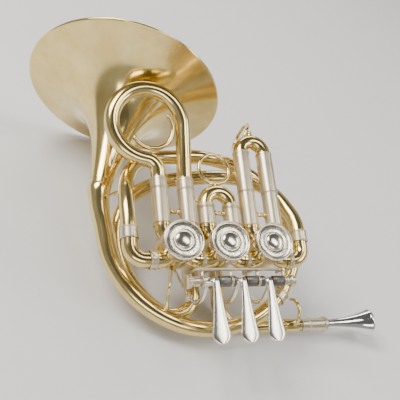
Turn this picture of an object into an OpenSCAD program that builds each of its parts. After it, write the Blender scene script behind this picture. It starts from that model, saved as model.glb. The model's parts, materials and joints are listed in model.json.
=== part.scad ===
// Compact three-valve french horn, rotary valves, laid on its bell rim and wrap, valve caps up.
// Every part is drawn in the horn's own axes and laid down by lay():
// X along the valve row towards valve 1, Y the way the valve slides pull, Z along the rotors.

/* [Tubing] */
// Bore of the valves and slides
bore_d = 11.8; // [11:0.1:12.2]
// Wall thickness of the drawn tubes
wall = 0.5; // [0.4:0.05:0.7]
// Outside radius of the nickel slide sleeves and ferrules
sleeve_r = 7.1; // [7:0.05:7.3]
// Radial running clearance of slides, rotors and pivots
fit = 0.05; // [0.03:0.01:0.08]

/* [Bell] */
// Diameter across the bell rim
bell_d = 175; // [170:1:178]
// Angle of the bell away from the slides' direction
bell_turn = 15.5; // [14:0.5:17]
// Angle that the bell mouth drops below the wrap
bell_drop = 4.5; // [4:0.5:5]

/* [Wrap] */
// Radius of the big turn that carries the bell tail
wrap_r = 90; // [89:0.5:92]
// Depth of the bell tail below the valve ports
wrap_z = -34; // [-35:0.5:-33.5]
// Depth of the main tuning slide below the valve ports
tuning_z = -48; // [-49:0.5:-47.5]

/* [Valves] */
// Distance between neighbouring valves
pitch = 39; // [39:0.5:40]
// Half the distance between the two legs of a valve slide
leg = 11.3; // [11.2:0.1:11.5]
// Outside radius of a valve casing
casing_r = 15.5; // [15.4:0.1:15.8]
// Radius of a rotor
rotor_r = 13.5; // [13.4:0.05:13.6]
// Outside radius of a valve cap
cap_r = 16.5; // [16.4:0.1:17]

/* [Slides] */
// Top of the first valve slide's nickel legs
slide_1_top = 87.5; // [80:0.5:90]
// Top of the second valve slide's nickel legs
slide_2_top = 36.5; // [36:0.5:40]
// Top of the third valve slide's nickel legs
slide_3_top = 57.5; // [57:0.5:58]
// Radius of the third slide's round loop
loop_r = 30.5; // [30:0.25:31]
// Angle that the loop rises above the slide legs to pass over the bell
loop_rise = 10; // [9:0.5:11]

/* [Levers] */
// Height of the lever axle above the valve ports
axle_z = 8; // [7:0.5:9]
// Distance of the lever axle in front of the valve row
axle_y = -30.5; // [-31:0.5:-30]
// Distance from the axle to the centre of a touch plate
touch_reach = 41; // [38:1:44]
// Length of the crank that works the link rod
crank = 38; // [38:0.5:38.5]
// Travel of a lever in degrees
lever_travel = 14; // [13.5:0.5:14]

/* [Hidden] */
$fn = 48;

// How the whole horn lies at rest: turned about X, then about Y, then lifted and centred
lay_tilt = 20.8;
lay_roll = -3.2;
lay_shift = [-6.52, -61.92, 68.85];

brass = "goldenrod";
nickel = "gainsboro";
steel = "silver";
cork = "burlywood";

tube_r = bore_d / 2 + wall;              // outside radius of a brass tube
bore_r = bore_d / 2;
sleeve_in = tube_r + fit;                // bore of a slide sleeve
knuckle_r = bore_r + 0.7;                // cast elbow on a casing
collar_r = 7.3;                          // collar at the end of an elbow
knuckle_bend = 12;                       // bend radius of a casing elbow
knuckle_end = 18;                        // straight end of an elbow, from the rotor axis
elbow_r = 11;                            // bend radius of the inlet and outlet elbows
outlet_x = 2 * leg + pitch + 16;         // centre line of the outlet tube, on the left
inlet_x = 2 * leg + pitch + 10.8;        // centre line of the inlet tube, on the right
elbow_top = 5;                           // where the elbows end and the loops start
valve_x = [pitch, 0, -pitch];            // valves 1, 2 and 3

casing_h = 14.5;                         // half the casing's height
floor_t = 2;                             // casing floor, which is the back bearing
shaft_r = 2.5;
journal_r = 3;
cap_top = 17;                            // flat of the valve cap

sleeve_top = [49.5, 33.4, 48.5];         // top of the sleeves of slides 1, 2 and 3
slide_gap = 0.2;                         // gap left when a slide is pushed home
legs_top = [slide_1_top, slide_2_top, slide_3_top];
ring_r = 13.6;                           // pull ring, to the middle of its wire
ring_wire = 1.4;
hook_r = 18;                             // finger hook in the third slide's loop
hook_wire = 1.7;
hook_start = 38;
hook_end = -145;
loop_x = -pitch + leg - loop_r;          // centre of the third slide's loop
rise_r = 20;                             // bend that lifts the third slide's loop
loop_y = 43;                             // centre of the loop, from the end of that bend
loop_end = 265;                          // where the loop turns back to the left leg
back_r = (-pitch - leg - loop_x - loop_r * cos(loop_end)) / (1 + cos(loop_end));
back_y = loop_y + (loop_r + back_r) * sin(loop_end);

lever_x = [32.5, 9.5, -14];              // levers 1, 2 and 3
post_x = [-24, 0, 23.5, 47];             // rack posts that carry the axle
axle_r = 2;
hub_r = 3.4;
spring_r = 4.3;                          // outside of the coiled return springs
stem = 3;                                // half the width of a lever where it leaves its hub
rack_y = -21.5;                          // bar of the lever rack
rack_z = 10.5;
rack_bend = 3;
half_travel = lever_travel / 2;
pin_r = crank * sin(half_travel) / sin(45);   // stop-arm pin, from the rotor axis
pin_side = [-1, 1, 1];                   // side of the rotor that each rod works on
rod_x = [for (i = [0:2]) valve_x[i] + pin_side[i] * pin_r * (1 + sin(45)) / 2];
crank_x = [rod_x[0], rod_x[1], post_x[0] + 3.6];
crank_end = [axle_y - crank * sin(half_travel), axle_z - crank * cos(half_travel)];
arm_z = -22.5;                           // underside of the stop arms
pin_z = crank_end[1] - 1.8;              // underside of their drive pins

bell_c = [-63.5, 162, -41];              // centre of the bell rim
bell_len = 100;                          // from the rim to the tail
flare_scale = 40;                        // length scale of the flare
flare_power = 1.75;
bell_axis = [sin(bell_turn) * cos(bell_drop), cos(bell_turn) * cos(bell_drop), -sin(bell_drop)];
throat = bell_c - bell_len * bell_axis;
wrap_c = [0, 30];                        // centre of the big turn
tuning_x = 12;                           // legs of the main tuning slide
tuning_base = -22;                       // bottom of its sleeves
tuning_top = 8;                          // top of its sleeves
receiver_x = 112;                        // mouth of the mouthpiece receiver
lead_y = -58;
lead_z = -42;

function bell_r(s) = bell_d / 2 * pow(flare_scale / (s + flare_scale), flare_power);
throat_r = bell_r(bell_len);

// Point of the big turn at an angle, with its depth and the tube's outside radius
function turn(a, r, z, tube) = [wrap_c[0] + r * cos(a), wrap_c[1] + r * sin(a), z, tube];

// Smooth curve through points [x, y, z, radius], n steps a span
function blend(a, b, c, d, t) =
    0.5 * ((2 * b) + (c - a) * t + (2 * a - 5 * b + 4 * c - d) * t * t + (3 * b - a - 3 * c + d) * t * t * t);
function smooth(p, n) = concat(
    [for (i = [0:len(p) - 2]) for (j = [0:n - 1])
        blend(i > 0 ? p[i - 1] : 2 * p[0] - p[1], p[i], p[i + 1],
              i < len(p) - 2 ? p[i + 2] : 2 * p[i + 1] - p[i], j / n)],
    [p[len(p) - 1]]);
function xyz(q) = [q[0], q[1], q[2]];
function unit(v) = v / norm(v);
function heading(q, i) = unit(xyz(q[min(i + 1, len(q) - 1)]) - xyz(q[max(i - 1, 0)]));
function circle_at(q, i, r, sides) =
    let (t = heading(q, i), u = unit(cross(t, [0, 0, 1])), v = cross(t, u))
    [for (k = [0:sides - 1]) xyz(q[i]) + r * (cos(360 * k / sides) * u + sin(360 * k / sides) * v)];

// Hollow tube along a smooth curve
module swept_tube(points, steps, sides) {
    q = smooth(points, steps);
    n = len(q);
    outer = [for (i = [0:n - 1]) each circle_at(q, i, q[i][3], sides)];
    inner = [for (i = [0:n - 1]) each circle_at(q, i, q[i][3] - wall, sides)];
    m = n * sides;
    last = (n - 1) * sides;
    polyhedron(concat(outer, inner), [
        for (i = [0:n - 2]) for (k = [0:sides - 1]) let (a = i * sides, b = a + sides, j = (k + 1) % sides)
            each [[a + k, a + j, b + j], [a + k, b + j, b + k],
                  [m + a + k, m + b + j, m + a + j], [m + a + k, m + b + k, m + b + j]],
        for (k = [0:sides - 1]) let (j = (k + 1) % sides)
            each [[k, m + j, j], [k, m + k, m + j],
                  [last + k, last + j, m + last + j], [last + k, m + last + j, m + last + k]]
    ]);
}

module lay() {
    translate(lay_shift) rotate([0, lay_roll, 0]) rotate([lay_tilt, 0, 0]) children();
}

module along_x() { rotate([0, 90, 0]) children(); }
module along_y() { rotate([-90, 0, 0]) children(); }

module pipe(outer, inner, length) {
    rotate_extrude() translate([inner, 0]) square([outer - inner, length]);
}

// Part of a ring-shaped tube about Z, from one angle and through another
module bend(radius, outer, inner, from, sweep) {
    rotate([0, 0, from]) rotate_extrude(angle = sweep) translate([radius, 0]) difference() {
        circle(outer);
        if (inner > 0) circle(inner);
    }
}

module rod_between(a, b, r) {
    v = b - a;
    translate(a) rotate([0, acos(v[2] / norm(v)), atan2(v[1], v[0])]) cylinder(r = r, h = norm(v));
}

// ---- Bell and wrap ----

module bell_place() {
    translate(bell_c) rotate([0, 0, -bell_turn]) rotate([-90 - bell_drop, 0, 0]) children();
}

module bell_flare() {
    // The rim lies at z = 0 and the throat at z = -bell_len
    steps = [for (i = [0:22]) bell_len * pow(i / 22, 1.6)];
    lay() color(brass) bell_place() rotate_extrude($fn = 96) polygon(concat(
        [for (s = steps) [bell_r(s), -s]],
        [for (i = [22:-1:0]) [bell_r(steps[i]) - wall * 1.6, -steps[i]]]));
}

module bell_rim_wire() {
    lay() color(brass) bell_place() translate([0, 0, 1.5]) rotate_extrude($fn = 96)
        translate([bell_d / 2 - 0.6, 0]) circle(1.5);
}

module bell_tail() {
    lay() color(brass) swept_tube([
        concat(throat - 0.1 * bell_axis, [throat_r]),
        concat(throat - 4 * bell_axis, [throat_r - 0.1]),
        concat(throat - 9 * bell_axis, [throat_r - 0.2]),
        [throat[0] - 2.3, throat[1] - 21, wrap_z + 0.6, 8.5],
        turn(180, wrap_r, wrap_z, 8),
        turn(202, wrap_r, wrap_z, 7.7),
        turn(225, wrap_r, wrap_z, 7.4),
        turn(248, wrap_r, wrap_z, 7.1),
        turn(270, wrap_r, wrap_z, 6.8),
        turn(292, wrap_r, wrap_z, 6.6),
        turn(309, wrap_r, wrap_z, 6.45),
        turn(315, wrap_r, wrap_z, 6.4)
    ], 5, 20);
}

module return_loop() {
    lay() color(brass) swept_tube([
        turn(316.4, wrap_r, wrap_z, tube_r),
        turn(321, wrap_r, wrap_z, tube_r),
        turn(337, wrap_r, wrap_z, tube_r),
        turn(357, 87, wrap_z, tube_r),
        turn(378, 81, wrap_z, tube_r),
        turn(400, 75, wrap_z, tube_r),
        turn(422, 70, wrap_z, tube_r),
        turn(446, 67.5, wrap_z, tube_r),
        turn(468, 69, wrap_z, tube_r),
        [-48, 90, -30, tube_r],
        [-66, 75, -20, tube_r],
        [-75, 56, -9, tube_r],
        [-outlet_x, 36, -2, tube_r],
        [-outlet_x, 20, 0, tube_r],
        [-outlet_x, elbow_top, 0, tube_r]
    ], 4, 14);
}

module inlet_loop() {
    lay() color(brass) swept_tube([
        [inlet_x, elbow_top + 0.05, 0, tube_r],
        [inlet_x, 15, 0, tube_r],
        [inlet_x, 25, -2, tube_r],
        [inlet_x - 2, 36, -6, tube_r],
        [63, 55, -14, tube_r],
        [49, 69, -22, tube_r],
        [26, 76, -29, tube_r],
        [-4, 76, -34, tube_r],
        [-34, 72, -38, tube_r],
        [-60, 60, -42, tube_r],
        [-74, 38, -44, tube_r],
        [-76, 14, -46, tube_r],
        [-69, -10, -47, tube_r],
        [-54, -31, tuning_z, tube_r],
        [-36, -44, tuning_z, tube_r],
        [-20, -42, tuning_z, tube_r],
        [-tuning_x, -32, tuning_z, tube_r],
        [-tuning_x, tuning_base, tuning_z, tube_r]
    ], 4, 14);
}

module leadpipe() {
    lay() color(brass) swept_tube([
        [receiver_x - 26, lead_y, lead_z, 4.8],
        [76, lead_y, lead_z, 4.9],
        [66, lead_y, lead_z, 5],
        [50, lead_y, lead_z - 3, 5.3],
        [32, lead_y + 1, tuning_z, 5.6],
        [18, lead_y + 8, tuning_z, 5.9],
        [tuning_x, -38, tuning_z, 6.2],
        [tuning_x, tuning_base, tuning_z, tube_r]
    ], 5, 14);
}

module outlet_elbow() {
    lay() color(brass) mirror([1, 0, 0]) elbow(outlet_x);
}

module inlet_elbow() {
    lay() color(brass) elbow(inlet_x);
}

// Elbow from the outer knuckle of the end valve up to a loop, whose centre line is at x
module elbow(x) {
    start = pitch + knuckle_end + 0.1;
    translate([start, -leg, 0]) along_x() pipe(tube_r, bore_r, x - elbow_r - start);
    translate([x - elbow_r, elbow_r - leg, 0]) bend(elbow_r, tube_r, bore_r, -90, 90);
    translate([x, elbow_r - leg, 0]) along_y() pipe(tube_r, bore_r, elbow_top - elbow_r + leg - 0.1);
}

// Nickel ring over a joint, with a bead at each end
module ferrule(length, inner = tube_r + 0.22) {
    pipe(sleeve_r + 0.2, inner, length);
    for (z = [0.8, length - 0.8]) translate([0, 0, z]) rotate_extrude() difference() {
        translate([sleeve_r + 0.1, 0]) circle(0.6);
        translate([sleeve_r - 2, -2]) square([2, 4]);
    }
}

module nickel_ferrules() {
    lay() color(nickel) {
        for (x = [-pitch, 0]) translate([x + knuckle_end + 0.05, -leg, 0]) along_x()
            ferrule(pitch - 2 * knuckle_end - 0.1, bore_r);
        translate([pitch + knuckle_end + 0.1, -leg, 0]) along_x() ferrule(4, tube_r + 0.02);
        translate([-pitch - knuckle_end - 6.1, -leg, 0]) along_x() ferrule(6, tube_r + 0.02);
        for (x = [-outlet_x, inlet_x]) translate([x, elbow_top, 0]) along_y() ferrule(10);
        translate(xyz(turn(315, wrap_r, wrap_z, 0))) rotate([0, 0, 45]) along_x()
            translate([0, 0, -4]) ferrule(9, tube_r + 0.55);
    }
}

module mouthpiece_receiver() {
    start = receiver_x - 25.5;
    lay() color(nickel) translate([start, lead_y, lead_z]) along_x() difference() {
        union() {
            cylinder(r1 = 5.4, r2 = 6, h = 25.5);
            translate([0, 0, 22.5]) cylinder(r = 6.9, h = 3);
        }
        translate([0, 0, -1]) cylinder(r = 4, h = 8.1);
        translate([0, 0, 7]) cylinder(r1 = 3.9, r2 = 4.35, h = 18.6);
    }
}

// Thin rods that tie the tubes together
module wrap_braces() {
    lay() color(brass) {
        rod_between([-42, -16.2, -9.6], [-43, -44, -27.2], 1.7);
        rod_between([-87.7, 50.1, -24.7], [-77.5, 51.9, -14.5], 1.8);
        rod_between([-8, 82.3, wrap_z], [-8, 90.6, wrap_z], 1.8);
        rod_between([54.3, 74.7, -29.4], [52.2, 72.4, -26.5], 1.8);
        rod_between([69.8, -16.7, -29.8], [65.9, -9.8, -6.9], 1.6);
        rod_between([-82.6, 13.1, -40.3], [-80.8, 13.3, -41.9], 1.8);
    }
}

// Flat hook for the little finger, on a foot over the leadpipe
module finger_hook() {
    lay() color(brass) translate([75, lead_y, lead_z]) {
        rotate([0, 90, 0]) difference() {
            translate([0, 0, -6]) cylinder(r = 6.3, h = 12);
            translate([0, 0, -7]) cylinder(r = 5.3, h = 14);
            translate([-1, -8, -7]) cube([16, 16, 14]);
        }
        translate([-1.2, -1.5, 5.9]) cube([2.4, 3, 6]);
        translate([-1.2, 9.5, 11.5]) rotate([0, 90, 0]) bend(11, 1.5, 0, 90, 180);
    }
}

// ---- Valves ----

// Four elbows at 45 degrees, each with a collar that takes a tube:
// the upper two rise along Y, the lower two lead out along X
module knuckles(r, collar, from) {
    c = knuckle_bend;
    turn_in = c * tan(22.5);
    for (side = [0, 1]) mirror([side, 0, 0]) {
        translate([leg - c, leg + turn_in, 0]) rotate([0, 0, -45])
            rotate_extrude(angle = 45) translate([c, 0]) circle(r);
        translate([leg, from, 0]) along_y() cylinder(r = collar, h = knuckle_end - from);
        translate([leg + turn_in, c - leg, 0]) rotate([0, 0, -135])
            rotate_extrude(angle = 45) translate([c, 0]) circle(r);
        translate([from, -leg, 0]) along_x() cylinder(r = collar, h = knuckle_end - from);
    }
}

module casing(i) {
    lay() color(brass) translate([valve_x[i], 0, 0]) difference() {
        union() {
            translate([0, 0, -casing_h]) cylinder(r = casing_r, h = 2 * casing_h);
            translate([0, 0, -casing_h - 2.5]) cylinder(r = 5, h = 3);
            knuckles(knuckle_r, collar_r, knuckle_end - 2.4);
        }
        translate([0, 0, floor_t - casing_h]) cylinder(r = rotor_r + fit, h = 2 * casing_h);
        translate([0, 0, -casing_h - 3]) cylinder(r = shaft_r + fit, h = 6);
        knuckles(bore_r, tube_r + fit, knuckle_end - 2);
    }
}

module cap(i) {
    dome = 7.2;
    rise = 2;
    lay() color(nickel) translate([valve_x[i], 0, 0]) rotate_extrude($fn = 72) polygon(concat(
        [[0, casing_h + 0.1]],
        [[casing_r + 0.05, casing_h + 0.1], [casing_r + 0.05, 9], [cap_r - 0.2, 9]],
        [[cap_r - 0.2, cap_top - 1]],
        [for (a = [-60:30:90]) [cap_r - 0.8 + 0.8 * cos(a), cap_top - 0.3 + 0.8 * sin(a)]],
        [[cap_r - 1.6, cap_top - 0.5], [cap_r - 2.2, cap_top - 0.5]],
        [[cap_r - 2.4, cap_top + 0.1], [cap_r - 3.2, cap_top + 0.1], [cap_r - 3.4, cap_top - 0.3]],
        [[dome + 1.2, cap_top - 0.3], [dome + 1, cap_top + 0.1], [dome, cap_top + 0.1]],
        [for (a = [15:15:90]) [dome * cos(a), cap_top + 0.1 + rise * sin(a)]]));
}

module bearing(i) {
    lay() color(brass) translate([valve_x[i], 0, casing_h - 2]) difference() {
        cylinder(r = rotor_r, h = 1.95);
        translate([0, 0, -1]) cylinder(r = journal_r + fit, h = 4);
    }
}

module rotor(i) {
    half = casing_h - floor_t - 0.1;
    lay() color(steel) translate([valve_x[i], 0, 0]) difference() {
        union() {
            translate([0, 0, -half]) cylinder(r = rotor_r, h = 2 * half);
            translate([0, 0, half - 0.1]) cylinder(r = journal_r, h = 1.9);
            translate([0, 0, arm_z - 0.6]) cylinder(r = shaft_r, h = -arm_z - half + 1);
        }
        for (a = [0, 180]) rotate([0, 0, a]) translate([0, -rotor_r / cos(45), 0])
            rotate([0, 0, 40]) rotate_extrude(angle = 100) translate([rotor_r, 0]) circle(5.2);
    }
}

// Crank on the rotor's shaft: the drive pin on one side and the stop lug on the other
module stop_arm(i) {
    s = pin_side[i];
    rest = s > 0 ? -45 : 225;
    lay() color(steel) translate([valve_x[i], 0, 0]) {
        difference() {
            union() {
                translate([0, 0, arm_z]) cylinder(r = 4.8, h = 4.6);
                rotate([0, 0, rest]) translate([3.2, -1.8, arm_z]) cube([pin_r - 3, 3.6, 2.2]);
                rotate([0, 0, rest]) translate([pin_r, 0, arm_z]) cylinder(r = 2.3, h = 2.2);
                rotate([0, 0, rest + 180]) translate([3.2, -2, arm_z]) cube([6.8, 4, 4]);
            }
            translate([0, 0, arm_z - 1]) cylinder(r = shaft_r + 0.01, h = 8);
        }
        rotate([0, 0, rest]) translate([pin_r, 0, pin_z]) cylinder(r = 1.2, h = arm_z - pin_z + 0.1);
    }
}

module bumper_corks() {
    offset = 30;
    lay() color(cork) for (i = [0:2]) let (lug = pin_side[i] > 0 ? 135 : 45, s = pin_side[i])
        for (a = [lug - s * offset, lug + s * (90 + offset)])
            translate([valve_x[i] + 8.5 * cos(a), 8.5 * sin(a), arm_z + 0.2])
                cylinder(r = 2, h = -arm_z - 0.2 - casing_h - 0.02);
}

// ---- Valve slides ----

module sleeves(i) {
    base = knuckle_end + 0.1;
    lay() color(nickel) for (side = [-1, 1]) translate([valve_x[i] + side * leg, base, 0]) along_y() {
        pipe(sleeve_r, sleeve_in, sleeve_top[i] - base);
        for (z = [0.8, sleeve_top[i] - base - 0.8]) translate([0, 0, z]) rotate_extrude() difference() {
            translate([sleeve_r, 0]) circle(0.5);
            translate([sleeve_r - 2, -1]) square([1.9, 2]);
        }
    }
}

module slide_braces() {
    lay() color(nickel) for (i = [0:2]) translate([valve_x[i], 29, 0]) {
        gap = leg - sleeve_r;
        translate([-gap + 0.1, 0, 0]) along_x() cylinder(r = 1.7, h = 2 * gap - 0.2);
    }
}

// Two nickel legs: a wide ferrule that meets the sleeve, and an inner tube that runs in it
module legs(i) {
    base = sleeve_top[i] + slide_gap;
    lay() color(nickel) for (side = [-1, 1]) translate([valve_x[i] + side * leg, 0, 0]) along_y() difference() {
        union() {
            translate([0, 0, base]) cylinder(r = sleeve_r, h = legs_top[i] - base);
            translate([0, 0, knuckle_end + 1.5]) cylinder(r = tube_r, h = base - knuckle_end);
        }
        cylinder(r = bore_r, h = legs_top[i] + 1);
    }
}

module bow_crook(i) {
    lay() color(brass) translate([valve_x[i], legs_top[i] + 0.02, 0]) bend(leg, tube_r, bore_r, 0, 180);
}

// Third slide: a straight right leg, a round loop and a short reverse bend to the left leg
module loop_crook() {
    lay() color(brass) {
        for (side = [-1, 1]) translate([-pitch + side * leg, slide_3_top + 0.02, rise_r])
            rotate([0, -90, 0]) bend(rise_r, tube_r, bore_r, 180 - loop_rise, loop_rise);
        rise_place() {
            translate([-pitch + leg, 0, 0]) along_y() pipe(tube_r, bore_r, loop_y);
            translate([loop_x, loop_y, 0]) bend(loop_r, tube_r, bore_r, 0, loop_end);
            translate([-pitch - leg - back_r, back_y, 0])
                bend(back_r, tube_r, bore_r, 0, loop_end - 180);
            translate([-pitch - leg, 0, 0]) along_y() pipe(tube_r, bore_r, back_y);
        }
    }
}

// The third slide's raised plane, from the point where its legs have finished turning upwards
module rise_place() {
    translate([0, slide_3_top + 0.02 + rise_r * sin(loop_rise), rise_r * (1 - cos(loop_rise))])
        rotate([loop_rise, 0, 0]) children();
}

module pull_ring(radius, wire) {
    rotate_extrude($fn = 72) translate([radius, 0]) circle(wire);
}

module slide_1_ring() {
    lay() color(brass) translate([pitch, slide_1_top + leg + tube_r + 0.05, 0]) {
        along_y() cylinder(r = 2.6, h = 4);
        rod_between([0, 3, 0], [0, 7.5, -4], 1.2);
        translate([0, 7.5, -4 - ring_r]) rotate([0, 0, 65]) rotate([90, 0, 0]) pull_ring(ring_r, ring_wire);
    }
}

module slide_2_ring() {
    lay() color(brass) translate([0, slide_2_top + leg + tube_r + ring_r + 1.45, 0]) pull_ring(ring_r, ring_wire);
}

// Open finger hook inside the third slide's loop: its foot is on the loop's wall, and it ends in balls
module slide_3_hook() {
    lay() color(brass) rise_place() translate([loop_x + 3.5, loop_y - 3, 0]) {
        bend(hook_r, hook_wire, 0, hook_end, hook_start - hook_end);
        translate([hook_r * cos(hook_end), hook_r * sin(hook_end), 0]) sphere(2.3);
        translate([hook_r * cos(hook_start), hook_r * sin(hook_start), 0]) sphere(2.1);
        rotate([0, 0, -12]) translate([hook_r, 0, 0]) sphere(1.9);
    }
}

// ---- Main tuning slide, behind the valves ----

module tuning_sleeves() {
    lay() color(nickel) for (side = [-1, 1]) translate([side * tuning_x, tuning_base + 0.1, tuning_z]) along_y() {
        pipe(sleeve_r, sleeve_in, tuning_top - tuning_base);
    }
}

module tuning_legs() {
    base = tuning_top + 0.3;
    lay() color(nickel) for (side = [-1, 1]) translate([side * tuning_x, 0, tuning_z]) along_y() difference() {
        union() {
            translate([0, 0, base]) cylinder(r = sleeve_r, h = 8);
            translate([0, 0, tuning_base + 3]) cylinder(r = tube_r, h = base - tuning_base);
        }
        translate([0, 0, tuning_base]) cylinder(r = bore_r, h = 50);
    }
}

module tuning_crook() {
    lay() color(brass) translate([0, tuning_top + 8.32, tuning_z]) {
        bend(tuning_x, tube_r, bore_r, 0, 180);
        translate([0, tuning_x + tube_r + ring_r - 2, 0]) difference() {
            pull_ring(ring_r, ring_wire);
            translate([0, -tuning_x - tube_r - ring_r + 2, 0]) cylinder(r = tuning_x + tube_r - 0.5, h = 9, center = true);
        }
    }
}

// ---- Levers and linkage ----

// Round bar over the levers, bent down at both ends, with feet to the knuckles and eyes for the axle
module lever_rack() {
    bar = 1.25;
    ends = [post_x[0] - 6, post_x[3] - 2];
    lay() color(nickel) {
        translate([ends[0] + rack_bend, rack_y, rack_z]) along_x()
            cylinder(r = bar, h = ends[1] - ends[0] - 2 * rack_bend);
        for (k = [0, 1]) translate([ends[k], rack_y, rack_z - rack_bend]) {
            translate([k == 0 ? rack_bend : -rack_bend, 0, 0]) rotate([90, 0, 0])
                bend(rack_bend, bar, 0, k == 0 ? 90 : 0, 90);
            translate([0, 0, -6]) cylinder(r = bar, h = 6);
        }
        for (x = post_x) translate([x - 1, 0, 0]) difference() {
            union() {
                translate([0, axle_y, axle_z]) along_x() cylinder(r = 4.6, h = 2);
                translate([0, axle_y, axle_z - 0.9]) cube([2, rack_y - axle_y, 1.8]);
                translate([0, rack_y - 0.9, axle_z - 0.9]) cube([2, 1.8, rack_z - axle_z + 0.9]);
            }
            translate([-1, axle_y, axle_z]) along_x() cylinder(r = axle_r + 0.02, h = 4);
        }
        for (x = [-pitch + 20, pitch - 20]) {
            translate([x - 1.5, rack_y - 1, -4]) cube([3, 2, rack_z + 4]);
            translate([x, -leg - 7.9, -4]) rotate([90, 0, 0]) cylinder(r = 2.6, h = -rack_y - leg - 7);
        }
    }
}

module lever_axle() {
    lay() color(steel) translate([post_x[0] - 9.5, axle_y, axle_z]) along_x()
        cylinder(r = axle_r, h = post_x[3] - post_x[0] + 16);
}

module axle_nuts() {
    lay() color(nickel) {
        translate([post_x[0] - 14, axle_y, axle_z]) along_x() difference() {
            union() {
                cylinder(r = 6, h = 5);
                translate([0, 0, 5]) cylinder(r = 4.2, h = 6);
            }
            translate([0, 0, 2]) cylinder(r = axle_r + 0.02, h = 20);
        }
        translate([post_x[3] + 2.2, axle_y, axle_z]) along_x() difference() {
            union() {
                cylinder(r = 3.4, h = 3);
                translate([0, 0, 3]) cylinder(r = 5, h = 4);
            }
            translate([0, 0, -1]) cylinder(r = axle_r + 0.02, h = 6);
        }
    }
}

// Touch plate and stem in one, a hub on the axle and a bowed crank below it
module lever(i) {
    left = post_x[2 - i] + 1.2;
    right = lever_x[i] + stem;
    end = crank_end;
    lay() color(nickel) {
        difference() {
            union() {
                translate([left, axle_y, axle_z]) along_x() cylinder(r = hub_r, h = right - left);
                translate([lever_x[i], axle_y, axle_z]) {
                    translate([0, 0, 1.4]) linear_extrude(2.4) hull() {
                        translate([0, -2]) circle(2.9, $fn = 32);
                        translate([0, -touch_reach + 16]) circle(4.8, $fn = 32);
                    }
                    translate([0, 0, 1.4]) linear_extrude(2.4) hull() {
                        translate([0, -touch_reach + 16]) circle(4.8, $fn = 32);
                        translate([0, -touch_reach]) circle(7.4, $fn = 32);
                    }
                }
                translate([crank_x[i], 0, 0]) crank_bow();
            }
            translate([left - 1, axle_y, axle_z]) along_x() cylinder(r = axle_r + fit, h = right - left + 2);
        }
        translate([crank_x[i] - 3.4, end[0], end[1]]) along_x() cylinder(r = 1.3, h = 3.4);
    }
}

// Bowed crank in the plane across the axle: it swells forward and ends under the axle
module crank_bow() {
    mid = [axle_y, axle_z] / 2 + crank_end / 2;
    v = crank_end - [axle_y, axle_z];
    bow = 24;                                    // bow radius
    d = sqrt(bow * bow - norm(v) * norm(v) / 4);
    c = mid + d * [-v[1], v[0]] / norm(v);
    a0 = atan2(axle_z - c[1], axle_y - c[0]);
    a1 = atan2(crank_end[1] - c[1], crank_end[0] - c[0]);
    translate([-1.4, c[0], c[1]]) rotate([90, 0, 90]) rotate([0, 0, a0])
        rotate_extrude(angle = a1 - a0 + 360) translate([bow - 1.6, 0]) square([3.2, 2.8]);
    translate([-1.4, crank_end[0], crank_end[1]]) along_x() cylinder(r = 2.6, h = 2.8);
}

// Ribbed sleeve that stands for the closely wound return spring
module coils(start, end, inner) {
    turns = max(2, round((end - start) / 1.4));
    step = (end - start) / turns;
    if (end - start > 2) translate([start, axle_y, axle_z]) along_x() {
        pipe(spring_r - 0.5, inner, end - start);
        for (k = [0:turns - 1]) translate([0, 0, (k + 0.5) * step]) rotate_extrude() difference() {
            translate([spring_r - 0.6, 0]) circle(0.6);
            translate([1, -1]) square([spring_r - 1.8, 2]);
        }
    }
}

module lever_spring(i) {
    lay() color("dimgray") {
        coils(post_x[2 - i] + 1.2, min(lever_x[i] - stem, crank_x[i] - 1.4) - 0.2, hub_r + fit);
        coils(lever_x[i] + stem + 0.2, post_x[3 - i] - 1.2, axle_r + fit);
    }
}

// Flat rod from the crank pin to the stop-arm pin, with a cross slot at the valve end
module link_rod(i) {
    y0 = crank_end[0];
    z = crank_end[1];
    x0 = crank_x[i] - 2.7;
    pin_y = -pin_r * sin(45);
    slot = pin_r * (1 - sin(45)) / 2 + 0.3;
    lay() color(nickel) difference() {
        union() {
            translate([x0 - 1, y0, z]) along_x() cylinder(r = 2.7, h = 2);
            rod_between([x0, y0 + 2, z], [rod_x[i], pin_y - 3.4, z], 1.1);
            translate([rod_x[i] - slot - 2.6, pin_y - 3.6, z - 1]) cube([2 * slot + 5.2, 7.2, 2]);
        }
        translate([x0 - 3, y0, z]) along_x() cylinder(r = 1.3 + fit, h = 6);
        translate([rod_x[i] - slot - 1.2, pin_y - 1.5, z - 2]) cube([2 * slot + 2.4, 3, 4]);
    }
}

// ---- Mouthpiece ----

module mouthpiece() {
    lay() color(nickel) translate([receiver_x - 18, lead_y, lead_z]) along_x() rotate_extrude($fn = 72) polygon([
        [2.6, 0], [3.83, 0], [4.25, 18], [4.6, 24], [5.2, 32], [6.6, 42], [8.8, 52], [10.4, 57], [11.6, 60.5],
        [12.4, 62], [12.6, 63.2], [12.2, 64.4], [11.2, 65], [10, 64.6], [9.1, 63.4], [8.7, 61], [7.4, 54],
        [5, 45], [3, 37], [2.2, 30], [2.4, 15]
    ]);
}

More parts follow.
